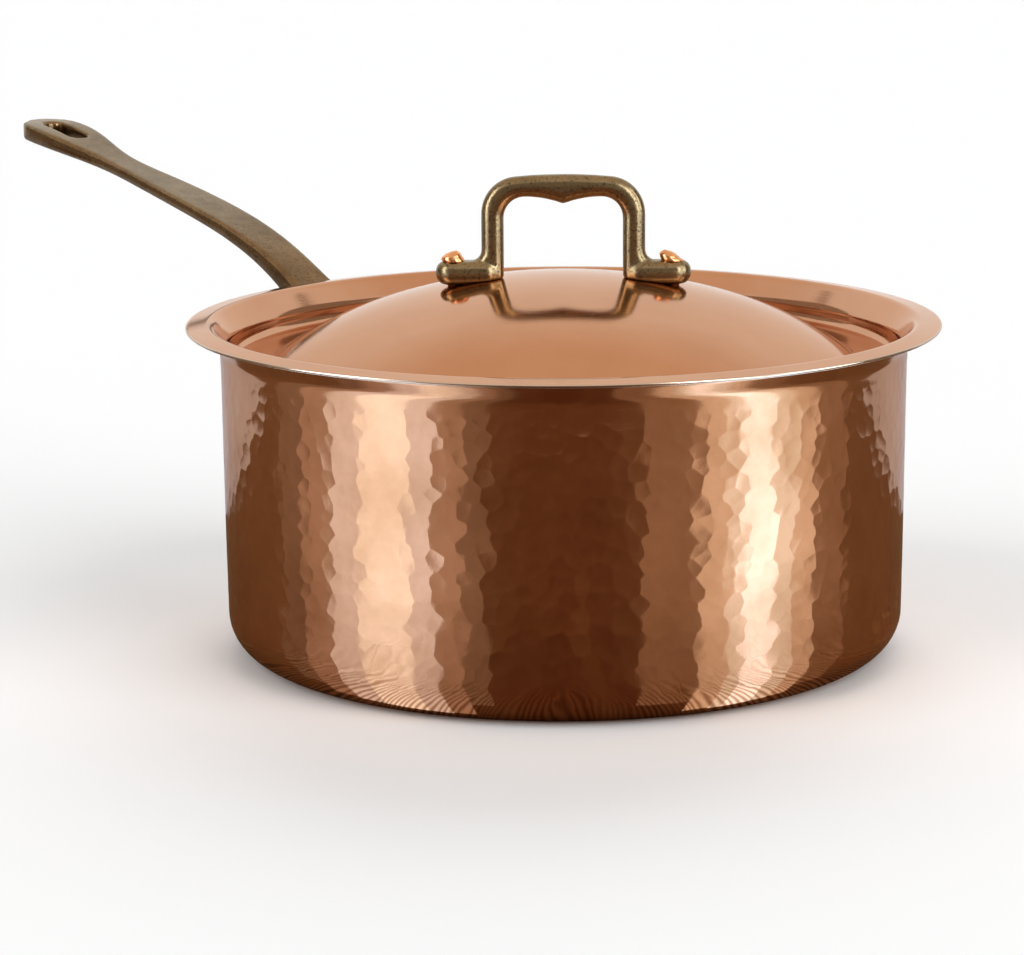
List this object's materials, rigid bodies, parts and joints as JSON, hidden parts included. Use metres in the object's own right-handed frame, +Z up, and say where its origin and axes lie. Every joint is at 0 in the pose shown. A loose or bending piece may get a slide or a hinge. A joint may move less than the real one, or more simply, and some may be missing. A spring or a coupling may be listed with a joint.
{
  "type": "saucepan",
  "caption": "Straight-sided hammered copper saucepan with a long riveted cast handle and a loose inset lid with a bridge handle.",
  "frame": {"origin": "centre of the pan's flat base, on the surface where it stands", "axes": "+X along the long handle, away from the pan; +Z up, the way the lid lifts"},
  "size_m": [0.4514, 0.2636, 0.1668],
  "materials": {
    "copper": "polished copper",
    "tin": "wiped tin",
    "bronze": "cast, lightly polished",
    "rivet_copper": "polished copper"
  },
  "bodies": {
    "pan": {"pot_body": "copper", "pot_lining": "tin", "pot_handle": "bronze", "pot_rivet_upper_left": "rivet_copper", "pot_rivet_upper_right": "rivet_copper", "pot_rivet_lower": "rivet_copper"},
    "lid": {"lid_body": "copper", "lid_lining": "tin", "lid_handle": "bronze", "lid_rivet_left": "rivet_copper", "lid_rivet_right": "rivet_copper"}
  },
  "joints": [
    {"name": "lid_lift", "type": "slide", "parent": "pan", "child": "lid", "axis": [0, 0, 1], "range_m": [0, 0.12]}
  ]
}
